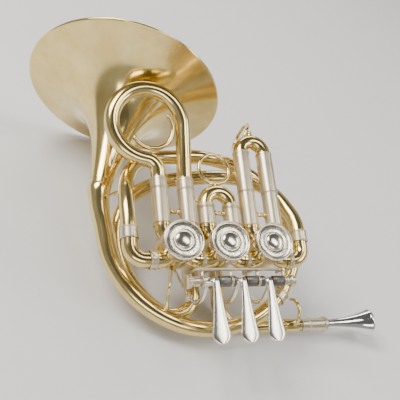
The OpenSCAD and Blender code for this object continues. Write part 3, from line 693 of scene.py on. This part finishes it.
def build_slide_braces():
    gap = LEG - SLEEVE
    bar = [(0, 0), (2.9, 0), (2.9, 0.6), (2.1, 1.1), (1.6, 1.8), (1.5, gap - 0.9), (1.9, gap - 0.5)]
    bar += [(1.9, gap + 0.5), (1.5, gap + 0.9), (1.6, 2 * gap - 1.8), (2.1, 2 * gap - 1.1)]
    bar += [(2.9, 2 * gap - 0.6), (2.9, 2 * gap), (0, 2 * gap)]
    shapes = [moved(lathe(bar, 32), place(x - gap, 29, 0, TO_X)) for x in VALVES]
    make("slide_brace_bars", shapes, BRASS, nodes=["slide_braces"])


def build_legs(i):
    base, top = SLEEVE_TOP[i] + 0.2, LEGS_TOP[i]
    start = KNUCKLE_END + 1.5
    outline = [(TUBE, start), (TUBE, base), (SLEEVE - 0.2, base), (SLEEVE, base + 0.2), (SLEEVE, top - 2.2)]
    outline += [(SLEEVE + 0.35, top - 2), (SLEEVE + 0.35, top - 0.4), (SLEEVE - 0.1, top)]
    outline += [(BORE, top), (BORE, start)]
    shapes = [moved(lathe(outline, 64, True), place(VALVES[i] + side * LEG, 0, 0, TO_Y)) for side in (-1, 1)]
    make(f"slide_{i + 1}_leg_tubes", shapes, NICKEL, f"slide_{i + 1}_body", [f"slide_{i + 1}_legs"])


def build_bow(i):
    path = flat_arc((VALVES[i], LEGS_TOP[i]), LEG, 0, 180, step=3)
    slide = f"slide_{i + 1}"
    make(slide + "_bow", [sweep(path, TUBE, 48)], BRASS, slide + "_body", [slide + "_crook"])


RISE_AT = (
    Matrix.Translation((0, LEGS_TOP[2] + RISE_R * sin(LOOP_RISE), RISE_R * (1 - cos(LOOP_RISE))))
    @ Matrix.Rotation(LOOP_RISE, 4, "X")
)
LOOP_X = VALVES[2] + LEG - LOOP_R
BACK_R = (VALVES[2] - LEG - LOOP_X - LOOP_R * cos(LOOP_END)) / (1 + cos(LOOP_END))
BACK_Y = LOOP_Y + (LOOP_R + BACK_R) * sin(LOOP_END)


def build_loop():
    """The third slide's crook: up its right leg, round the loop, and back down its left leg."""

    def rise(x):
        angles = (LOOP_RISE * k / 4 for k in range(4))
        return [Vector((x, LEGS_TOP[2] + RISE_R * sin(a), RISE_R * (1 - cos(a)))) for a in angles]

    end = degrees(LOOP_END)
    loop = flat_arc((LOOP_X, LOOP_Y), LOOP_R, 0, end, step=3)
    back = flat_arc((VALVES[2] - LEG - BACK_R, BACK_Y), BACK_R, end - 180, 0, step=5)[1:]
    raised = [RISE_AT @ p for p in [Vector((VALVES[2] + LEG, y, 0)) for y in (0, 14, 28)] + loop + back]
    path = rise(VALVES[2] + LEG) + raised + list(reversed(rise(VALVES[2] - LEG)))
    make("slide_3_loop_bow", [sweep(path, TUBE, 48)], BRASS, "slide_3_body", ["slide_3_crook"])
    build_hook()


def ball(r, x, y, z=0.0):
    half = [(r * sin(a), -r * cos(a)) for a in (pi * k / 16 for k in range(17))]
    return moved(lathe(half, 32), place(x, y, z))


def build_hook():
    """The third slide's finger hook: an open arc with a ball at each end and a foot on the loop's wall."""
    wire = sweep(flat_arc((0, 0), HOOK_R, HOOK_END, HOOK_START, step=3), HOOK_WIRE, 24)
    spots = ((HOOK_END, 2.3, 0), (HOOK_START, 2.1, 0), (-12, 1.95, 0.1))
    balls = []
    for a, r, out in spots:
        balls.append(ball(r, (HOOK_R + out) * cos(radians(a)), (HOOK_R + out) * sin(radians(a))))
    at = RISE_AT @ Matrix.Translation((LOOP_X + 3.5, LOOP_Y - 3, 0))
    make("slide_3_hook_wire", [wire] + balls, BRASS, "slide_3_body", ["slide_3_hook"], at=at)


def build_rings():
    """The first slide's pull ring hangs from a knob on a stay, and the second's stands on a foot."""
    foot = [(0, 0), (2.6, 0), (2.6, 0.5), (1.9, 1.0), (1.3, 1.8), (1.5, 2.6), (0, 2.9)]
    y = LEGS_TOP[0] + LEG + TUBE
    knob = [(0, -0.3), (2.6, -0.1), (2.6, 0.6), (1.7, 1.1), (1.5, 1.7), (2.2, 2.3), (2.6, 3.1)]
    knob += [(2.2, 3.8), (1.3, 4.15), (0, 4.2)]
    stay = rod((0, 3, 0), (0, 7.5, -4), [(0, 0), (1.2, 0), (1.2, 1), (0, 1)])
    upright = Matrix.Rotation(radians(65), 4, "Z") @ Matrix.Rotation(radians(90), 4, "X")
    turn_to = Matrix.Translation((0, 7.5, -4 - RING_R)) @ upright
    shapes = [moved(lathe(knob, 32), TO_Y), stay, moved(torus(RING_R, RING_WIRE), turn_to)]
    make("slide_1_ring_wire", shapes, BRASS, "slide_1_body", ["slide_1_ring"], at=place(VALVES[0], y, 0))
    y = LEGS_TOP[1] + LEG + TUBE + RING_R + RING_WIRE + 0.05
    post = moved(lathe(foot, 24), place(0, -RING_R - RING_WIRE - 0.3, 0, TO_Y))
    shapes, at = [torus(RING_R, RING_WIRE), post], place(VALVES[1], y, 0)
    make("slide_2_ring_wire", shapes, BRASS, "slide_2_body", ["slide_2_ring"], at=at)


def build_tuning_slide():
    length = TUNING_TOP - TUNING_BASE
    tube = lathe(hollow(beads(SLEEVE, length, 0.5, (0.8, length - 0.8)), TUBE + 0.05))
    shapes = [moved(tube, place(side * TUNING_X, TUNING_BASE + 0.1, TUNING_Z, TO_Y)) for side in (-1, 1)]
    make("tuning_sleeve_tubes", shapes, NICKEL, nodes=["tuning_sleeves"])
    base, start = TUNING_TOP + 0.3, TUNING_BASE + 3
    outline = [(TUBE, start), (TUBE, base), (SLEEVE - 0.2, base), (SLEEVE, base + 0.2)]
    outline += [(SLEEVE, base + 7.8), (SLEEVE - 0.2, base + 8), (BORE, base + 8), (BORE, start)]
    shapes = [moved(lathe(outline, 64, True), place(side * TUNING_X, 0, TUNING_Z, TO_Y)) for side in (-1, 1)]
    make("tuning_leg_tubes", shapes, NICKEL, "tuning_slide_body", ["tuning_legs"])
    y = TUNING_TOP + 8.32
    bow = sweep(flat_arc((0, y), TUNING_X, 0, 180, TUNING_Z, 3), TUBE, 48)
    ring = moved(torus(RING_R, RING_WIRE), place(0, y + TUNING_X + TUBE + RING_R - 2, TUNING_Z))
    make("tuning_bow", [bow, ring], BRASS, "tuning_slide_body", ["tuning_crook"])


# ---- Levers and linkage ----


def plate_section(centre, half_width, thickness, crown, points=36):
    """A plate's cross-section in X and Z: soft corners, and a top that rises a little towards the middle."""
    loop = []
    for k in range(points):
        a = 2 * pi * k / points
        x = half_width * (abs(cos(a)) ** 0.8 if cos(a) > 0 else -(abs(cos(a)) ** 0.8))
        edge = (1 - abs(x / half_width) ** 5) ** 0.45
        z = thickness / 2 * edge * (1 if sin(a) > 0 else -1)
        if sin(a) > 0:
            z += crown * (1 - (x / half_width) ** 2)
        loop.append(centre + Vector((x, 0, z)))
    return loop


def touch_plate(x):
    """A lever's teardrop touch: a narrow stem that widens to a round tip, dipping slightly at the end."""
    tip = TOUCH_REACH + TOUCH_R
    loops = []
    for k in range(49):
        share = k / 48
        reach = -2.9 + (tip + 2.9) * sin(pi / 2 * share) ** 0.9
        past = reach - TOUCH_REACH
        if past > 0:
            half = max(sqrt(max(TOUCH_R**2 - past**2, 0)), 0.25)
        else:
            t = max(reach / TOUCH_REACH, 0)
            half = STEM_R + (TOUCH_R - STEM_R) * t**1.5
        if reach < 0:
            half = max(sqrt(max(STEM_R**2 - reach**2, 0)), 0.25)
        thin = min(1, (half / 2.2) ** 0.5)
        loops.append(plate_section(Vector((x, AXLE.y - reach, AXLE.z + 2.55)), half, 2.2 * thin, 0.45 * thin))
    return loft(loops)


def crank_arm(x):
    """The bowed crank from the axle down to the link rod's pin."""
    top, end = Vector((AXLE.y, AXLE.z)), Vector((PIVOT.y, PIVOT.z))
    bow = 24.0
    v = end - top
    centre = (top + end) / 2 + sqrt(bow**2 - v.length**2 / 4) * Vector((-v.y, v.x)) / v.length
    a0 = atan2(top.y - centre.y, top.x - centre.x)
    a1 = atan2(end.y - centre.y, end.x - centre.x)
    a1 += 2 * pi if a1 < a0 else 0
    loops = []
    for k in range(25):
        a = a0 + (a1 - a0) * k / 24
        out = Vector((0, cos(a), sin(a)))
        middle = Vector((x, centre.x, centre.y)) + bow * out
        loop = []
        for j in range(16):
            b = 2 * pi * j / 16
            w = 1.4 * abs(cos(b)) ** 0.5 * (1 if cos(b) > 0 else -1)
            t = 1.6 * abs(sin(b)) ** 0.5 * (1 if sin(b) > 0 else -1)
            loop.append(middle + Vector((w, 0, 0)) + t * out)
        loops.append(loop)
    eye = lathe([(0, -1.4), (2.3, -1.4), (2.6, -1.1), (2.6, 1.1), (2.3, 1.4), (0, 1.4)], 32)
    return [loft(loops), moved(eye, place(x, end.x, end.y, TO_X))]


def build_lever(i):
    left, right = POSTS[2 - i] + 1.2, LEVERS[i] + STEM
    long, bore = right - left, AXLE_R + 0.05
    hub = [(bore, 0), (HUB_R - 0.3, 0), (HUB_R, 0.3), (HUB_R, long - 0.3), (HUB_R - 0.3, long), (bore, long)]
    shapes = [moved(lathe(hub, 48, True), place(left, AXLE.y, AXLE.z, TO_X)), touch_plate(LEVERS[i])]
    shapes += crank_arm(CRANKS[i])
    pin = [(0, 0), (1.3, 0), (1.3, 3.4), (0, 3.4)]
    shapes.append(moved(lathe(pin, 24), place(CRANKS[i] - 3.4, PIVOT.y, PIVOT.z, TO_X)))
    make(f"lever_{i + 1}_touch", shapes, LEVER_NICKEL, f"lever_{i + 1}_body", [f"lever_{i + 1}"], crease=50)


def coil(start, end, inner):
    """A closely wound spring on the axle's line, between two places along it."""
    wire = (SPRING_R - inner) / 2
    turns = max(3, round((end - start) / (2.05 * wire)))
    middle = inner + wire
    path = []
    for k in range(turns * 24 + 1):
        a = 2 * pi * k / 24
        x = start + wire + (end - start - 2 * wire) * k / (turns * 24)
        path.append(Vector((x, AXLE.y + middle * cos(a), AXLE.z + middle * sin(a))))
    return sweep(path, wire, 10)


def build_spring(i):
    """A lever's return spring: a coil at each side where there is room, and a sleeve in the right one."""
    spans = [(POSTS[2 - i] + 1.2, min(LEVERS[i] - STEM, CRANKS[i] - 1.4) - 0.2)]
    spans.append((LEVERS[i] + STEM + 0.2, POSTS[3 - i] - 1.2))
    shapes = []
    for start, end in spans:
        if end - start > 2:
            shapes.append(coil(start, end, HUB_R + 0.05))
    left, right = spans[1]
    core = [(2.15, 0), (HUB_R, 0), (HUB_R, right - left), (2.15, right - left)]
    shapes.append(moved(lathe(core, 32, True), place(left, AXLE.y, AXLE.z, TO_X)))
    make(f"lever_{i + 1}_coil", shapes, SPRING, nodes=[f"lever_{i + 1}_spring"])


def block(low, high):
    """A box between two corners."""
    xs, ys, zs = zip(low, high)
    verts = [Vector((x, y, z)) for z in zs for y in ys for x in xs]
    return verts, [(0, 2, 3, 1), (4, 5, 7, 6), (0, 1, 5, 4), (2, 6, 7, 3), (0, 4, 6, 2), (1, 3, 7, 5)]


def build_rack():
    """The bent bar over the levers, with an eye for the axle at each post and two feet to the knuckles."""
    ends = (POSTS[0] - 6, POSTS[3] - 2)
    low = RACK_Z - RACK_BEND
    path = [Vector((ends[0], RACK_Y, low - 6))]
    for centre, start in ((ends[0] + RACK_BEND, 180), (ends[1] - RACK_BEND, 90)):
        path += [Vector((x, RACK_Y, z)) for x, z in arc((centre, low), RACK_BEND, start, start - 90, 8)]
    path.append(Vector((ends[1], RACK_Y, low - 6)))
    bar = sweep(path, 1.25, 24)
    tips = [ball(1.25, p.x, p.y, p.z) for p in (path[0], path[-1])]
    shapes = [bar] + tips
    eye = [(AXLE_R + 0.02, -1), (4.1, -1), (4.6, -0.6), (4.6, 0.6), (4.1, 1), (AXLE_R + 0.02, 1)]
    post = [(0, 0), (1.15, 0), (1.15, 1), (0, 1)]
    for x in POSTS:
        shapes.append(moved(lathe(eye, 48, True), place(x, AXLE.y, AXLE.z, TO_X)))
        shapes.append(block((x - 0.9, AXLE.y + 3.4, AXLE.z - 0.9), (x + 0.9, RACK_Y, AXLE.z + 0.9)))
        shapes.append(rod((x, RACK_Y, AXLE.z - 0.6), (x, RACK_Y, RACK_Z), post))
    for x in (-PITCH + 20, PITCH - 20):
        shapes.append(block((x - 1.5, RACK_Y - 0.8, -4), (x + 1.5, RACK_Y + 0.8, RACK_Z - 0.4)))
        foot = [(0, 0), (1.7, 0), (2.6, 0.5), (2.6, 3.0), (2.3, 3.2), (0, 3.2)]
        shapes.append(moved(lathe(foot, 32), place(x, -LEG - 7.9 - 3.2, -4, TO_Y)))
    make("lever_rack_bar", shapes, NICKEL, nodes=["lever_rack"], bevel=0.2, crease=40)


def build_axle():
    """The levers' axle, with a knurled nut on its left end and a flanged one on its right."""
    start = POSTS[0] - 9.5
    length = POSTS[3] - POSTS[0] + 16
    shaft = [(0, 0), (1.7, 0), (2, 0.3), (2, length - 0.3), (1.7, length), (0, length)]
    at = place(start, AXLE.y, AXLE.z, TO_X)
    make("lever_axle_rod", [lathe(shaft, 40)], STEEL, nodes=["lever_axle"], at=at)
    knob = [(0, 0), (4.3, 0), (5.1, 0.4), (5.3, 0.9), (5.3, 3.9), (5.0, 4.5), (4.4, 4.8)]
    knob += [(3.6, 5), (3.6, 7), (4.1, 7.4), (4.1, 10.6), (3.8, 11), (2.02, 11)]
    flange = [(2.02, 0), (3.2, 0), (3.4, 0.3), (3.4, 2.8), (4.7, 3), (5, 3.4), (5, 6.4), (4.5, 7), (0, 7.2)]
    shapes = [moved(knurled(lathe(knob, 96), 5.0, 24), place(POSTS[0] - 14, AXLE.y, AXLE.z, TO_X))]
    shapes.append(moved(lathe(flange, 48), place(POSTS[3] + 2.2, AXLE.y, AXLE.z, TO_X)))
    make("axle_nut_turned", shapes, NICKEL, nodes=["axle_nuts"])


def knurled(shape, r, teeth):
    """Fine teeth on the part of a turned shape that is wider than r."""
    verts, faces = shape
    out = []
    for v in verts:
        wide = sqrt(v.x**2 + v.y**2)
        grow = 1 + (0.045 * (0.5 + 0.5 * cos(teeth * atan2(v.y, v.x))) if wide > r else 0)
        out.append(Vector((v.x * grow, v.y * grow, v.z)))
    return out, faces


# ---- Mouthpiece ----


def build_mouthpiece():
    keys = [(3.83, 0), (4.25, 18), (4.6, 24), (5.2, 32), (6.6, 42), (8.8, 52), (10.4, 57), (11.6, 60.5)]
    outer = smooth([(r, z, 0, 0) for r, z in keys + [(12.4, 62)]], 6)
    rim = [(12.6, 63.2), (12.45, 64), (12, 64.6), (11.2, 65), (10.5, 64.95), (10, 64.6), (9.4, 64)]
    rim.append((9.1, 63.4))
    inner = [(8.7, 61), (7.4, 54), (5, 45), (3, 37), (2.2, 30), (2.4, 15), (2.6, 0)]
    cup = smooth([(r, z, 0, 0) for r, z in inner], 6)
    outline = [(p[0], p[1]) for p in outer] + rim + [(p[0], p[1]) for p in cup]
    at = place(RECEIVER_X - 18, LEAD_Y, LEAD_Z, TO_X)
    shape = lathe(outline, 96, True)
    make("mouthpiece_turned", [shape], SILVER, "mouthpiece_body", ["mouthpiece"], at=at, crease=50)


# ---- CAD parts that keep their shape ----


def keep_cad(node, look, bevel=0.12):
    part = frame["nodes"][node]
    part.data.materials.clear()
    part.data.materials.append(look[0])
    edge = part.modifiers.new("soft edges", "BEVEL")
    edge.width = bevel * MM
    edge.segments = 2
    edge.limit_method = "ANGLE"
    edge.angle_limit = radians(40)


build_bell()
build_wrap()
build_ferrules()
build_braces()
for index in range(3):
    build_casing(index)
    build_cap(index)
    build_sleeves(index)
    build_legs(index)
    build_lever(index)
    build_spring(index)
build_rack()
for index in range(2):
    build_bow(index)
build_loop()
build_rings()
build_corks()
build_slide_braces()
build_tuning_slide()
build_axle()
build_mouthpiece()

for number in (1, 2, 3):
    keep_cad(f"valve_{number}_bearing", BRASS)
    keep_cad(f"valve_{number}_rotor", STEEL)
    keep_cad(f"valve_{number}_stop_arm", STEEL)
    keep_cad(f"link_rod_{number}", LEVER_NICKEL)
keep_cad("finger_hook", BRASS)


# ---- Floor, light and camera ----


def plain_material(name, colour, roughness):
    m = Nodes(name)
    m.set(Base_Color=m.mix(m.noise(6, 3), colour, tuple(c * 0.96 for c in colour)), Roughness=roughness)
    return m.material


def build_floor():
    """A pale round sweep: flat under the horn, curving up all round into a wall."""
    flat, rise, wall = 1.9, 0.8, 2.6
    outline = [(0.0, 0.0), (flat, 0.0)]
    outline += [(flat + rise * sin(a), rise * (1 - cos(a))) for a in (pi / 2 * k / 24 for k in range(1, 25))]
    outline.append((flat + rise, wall))
    verts, faces = lathe(outline, 96)
    mesh = bpy.data.meshes.new("floor")
    mesh.from_pydata([Vector(v) for v in verts], [], faces)
    mesh.shade_smooth()
    mesh.materials.append(plain_material("pale_floor", (0.80, 0.79, 0.77), 0.6))
    floor = bpy.data.objects.new("floor", mesh)
    bpy.context.scene.collection.objects.link(floor)


def area_light(name, at, aim, size, power, colour=(1, 1, 1), along=(1, 0, 0)):
    """A soft box at a place, facing aim, with its first side lying as nearly as it can along a direction."""
    data = bpy.data.lights.new(name, "AREA")
    data.shape = "RECTANGLE"
    data.size, data.size_y = size
    data.energy = power
    data.color = colour
    light = bpy.data.objects.new(name, data)
    light.location = at
    back = (Vector(at) - Vector(aim)).normalized()
    side = (Vector(along) - back * back.dot(Vector(along))).normalized()
    light.rotation_euler = Matrix((side, back.cross(side), back)).transposed().to_euler()
    bpy.context.scene.collection.objects.link(light)


def build_light():
    """A big soft key from the left, a cooler fill from the right, long strips, and a dim room."""
    aim = (0, 0, 0.06)
    over, slant = LAY @ Vector((0.57, 0.27, 1.30)), LAY.to_3x3() @ Vector((-0.8, 0.6, 0))
    area_light("overhead", over, aim, (0.60, 0.34), 5, (1.0, 0.98, 0.94), slant)
    area_light("key", (-0.75, 0.35, 1.15), aim, (0.8, 0.55), 22, (1.0, 0.98, 0.95))
    area_light("fill", (1.15, -0.3, 0.95), aim, (0.35, 1.1), 9, (0.95, 0.97, 1.0))
    area_light("front", (-0.35, -1.25, 0.75), aim, (1.1, 0.25), 6)
    area_light("back", (0.25, 1.3, 0.9), aim, (1.2, 0.22), 7, (1.0, 0.97, 0.93))
    world = bpy.data.worlds.new("studio")
    world.use_nodes = True
    tree = world.node_tree
    sky = tree.nodes["Background"]
    ramp = tree.nodes.new("ShaderNodeValToRGB")
    where = tree.nodes.new("ShaderNodeTexCoord")
    split = tree.nodes.new("ShaderNodeSeparateXYZ")
    tree.links.new(where.outputs["Generated"], split.inputs[0])
    tree.links.new(split.outputs["Z"], ramp.inputs["Fac"])
    tree.links.new(ramp.outputs["Color"], sky.inputs["Color"])
    ramp.color_ramp.elements[0].color = (0.34, 0.32, 0.29, 1)
    ramp.color_ramp.elements[1].color = (0.20, 0.20, 0.21, 1)
    sky.inputs["Strength"].default_value = 0.55
    bpy.context.scene.world = world


def build_camera():
    """The camera in the horn's axes: its place, and the ways that it sees as right and up."""
    right = Vector((0.930, -0.098, 0.355)).normalized()
    back = Vector((-0.366, -0.362, 0.857))
    back = (back - right * back.dot(right)).normalized()
    turn_to = Matrix((right, back.cross(right), back)).transposed().to_4x4()
    data = bpy.data.cameras.new("camera")
    data.sensor_width = 36
    data.lens = 52.07
    data.clip_start = 0.01
    camera = bpy.data.objects.new("camera", data)
    camera.matrix_world = LAY @ Matrix.Translation(Vector((-190.5, -132.9, 410.3)) * MM) @ turn_to
    bpy.context.scene.collection.objects.link(camera)
    bpy.context.scene.camera = camera


build_floor()
build_light()
build_camera()
